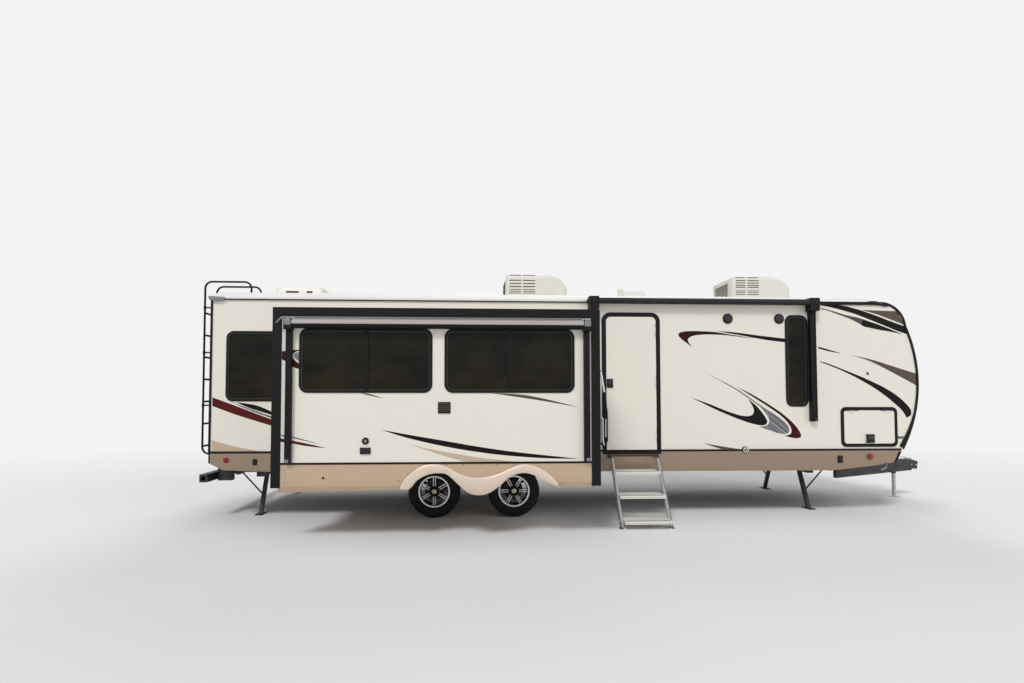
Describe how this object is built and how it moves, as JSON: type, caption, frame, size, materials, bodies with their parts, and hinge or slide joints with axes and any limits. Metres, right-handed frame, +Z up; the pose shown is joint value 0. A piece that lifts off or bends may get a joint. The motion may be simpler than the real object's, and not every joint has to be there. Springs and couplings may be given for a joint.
{
  "type": "travel trailer",
  "caption": "Bumper-pull travel trailer on tandem axles with a slide-out room, awnings, entry steps, ladder, tongue jack and stabilizers.",
  "frame": {"origin": "middle of the trailer's footprint, on the ground, with the slide-out room extended", "axes": "+X forward to the coupler, +Y to the road side, +Z up"},
  "size_m": [10.733, 3.62, 3.4556],
  "materials": {
    "gelcoat": "satin gelcoat",
    "membrane": "matt roof membrane",
    "skirt": "satin champagne paint",
    "frame_black": "satin black",
    "tinted": "dark tinted glass",
    "chassis": "satin black paint",
    "floor": "plywood deck",
    "liner": "black corrugated sheet",
    "step_metal": "mill finish",
    "zinc": "zinc plated",
    "tyre": "rubber",
    "wheel": "machined face with black pockets",
    "lamp": "clear red lens",
    "cooler": "moulded plastic",
    "vent": "moulded plastic",
    "door": "satin gelcoat"
  },
  "bodies": {
    "trailer": {"chassis_rails": "chassis", "crossmembers": "chassis", "a_frame": "chassis", "coupler": "chassis", "tongue_tray": "chassis", "propane_cover": "liner", "jack_tube": "chassis", "rear_bumper": "chassis", "stabilizer_beams": "chassis", "stabilizer_legs": "chassis", "underbelly": "liner", "axles": "chassis", "leaf_springs": "chassis", "floor_deck": "floor", "roof": "membrane", "camp_wall": "gelcoat", "road_wall": "gelcoat", "rear_wall": "gelcoat", "front_cap": "gelcoat", "body_trim": "frame_black", "skirts": "skirt", "window_frames": "frame_black", "window_panes": "tinted", "door_frame": "frame_black", "bay_frames": "frame_black", "bay_liner": "floor", "main_awning": "frame_black", "ladder": "frame_black", "air_conditioners": "cooler", "vent_bases": "vent", "entry_steps": "step_metal", "grab_handle": "frame_black", "lamps": "lamp", "road_hatches": "vent"},
    "slide_room": {"slide_face": "gelcoat", "slide_floor": "floor", "slide_roof": "membrane", "slide_sides": "gelcoat", "slide_trim": "frame_black", "slide_skirt": "skirt", "slide_window_frames": "frame_black", "slide_window_panes": "tinted", "slide_awning": "frame_black", "slide_arms": "zinc"},
    "entry_door": {"entry_door": "door"},
    "bay_door_camp": {"bay_door_camp": "door"},
    "bay_door_road": {"bay_door_road": "door"},
    "jack_leg": {"jack_leg": "zinc"},
    "vent_lid_rear": {"vent_lid_rear": "vent"},
    "vent_lid_front": {"vent_lid_front": "vent"},
    "wheel_camp_rear": {"tyre_camp_rear": "tyre", "rim_camp_rear": "wheel"},
    "wheel_camp_front": {"tyre_camp_front": "tyre", "rim_camp_front": "wheel"},
    "wheel_road_rear": {"tyre_road_rear": "tyre", "rim_road_rear": "wheel"},
    "wheel_road_front": {"tyre_road_front": "tyre", "rim_road_front": "wheel"}
  },
  "joints": [
    {"name": "wheel_camp_rear_spin", "type": "hinge", "parent": "trailer", "child": "wheel_camp_rear", "pos_m": [-2.2885, -0.529, 0.3445], "axis": [0, 1, 0], "continuous": true},
    {"name": "wheel_camp_front_spin", "type": "hinge", "parent": "trailer", "child": "wheel_camp_front", "pos_m": [-1.2365, -0.529, 0.3445], "axis": [0, 1, 0], "continuous": true},
    {"name": "wheel_road_rear_spin", "type": "hinge", "parent": "trailer", "child": "wheel_road_rear", "pos_m": [-2.2885, 1.627, 0.3445], "axis": [0, 1, 0], "continuous": true},
    {"name": "wheel_road_front_spin", "type": "hinge", "parent": "trailer", "child": "wheel_road_front", "pos_m": [-1.2365, 1.627, 0.3445], "axis": [0, 1, 0], "continuous": true},
    {"name": "entry_door_hinge", "type": "hinge", "parent": "trailer", "child": "entry_door", "pos_m": [0.6705, -0.689, 1.7765], "axis": [0, 0, 1], "range_deg": [0, 170]},
    {"name": "bay_door_camp_hinge", "type": "hinge", "parent": "trailer", "child": "bay_door_camp", "pos_m": [3.6065, -0.687, 1.412], "axis": [-1, 0, 0], "range_deg": [0, 165]},
    {"name": "bay_door_road_hinge", "type": "hinge", "parent": "trailer", "child": "bay_door_road", "pos_m": [3.6065, 1.785, 1.412], "axis": [1, 0, 0], "range_deg": [0, 165]},
    {"name": "slide_room_travel", "type": "slide", "parent": "trailer", "child": "slide_room", "axis": [0, 1, 0], "range_m": [0, 0.958]},
    {"name": "jack_leg_travel", "type": "slide", "parent": "trailer", "child": "jack_leg", "axis": [0, 0, 1], "range_m": [0, 0.3]},
    {"name": "vent_lid_rear_hinge", "type": "hinge", "parent": "trailer", "child": "vent_lid_rear", "pos_m": [-4.7055, 0.549, 3.1301], "axis": [0, -1, 0], "range_deg": [0, 60]},
    {"name": "vent_lid_front_hinge", "type": "hinge", "parent": "trailer", "child": "vent_lid_front", "pos_m": [0.5545, 0.549, 3.1301], "axis": [0, -1, 0], "range_deg": [0, 60]}
  ]
}
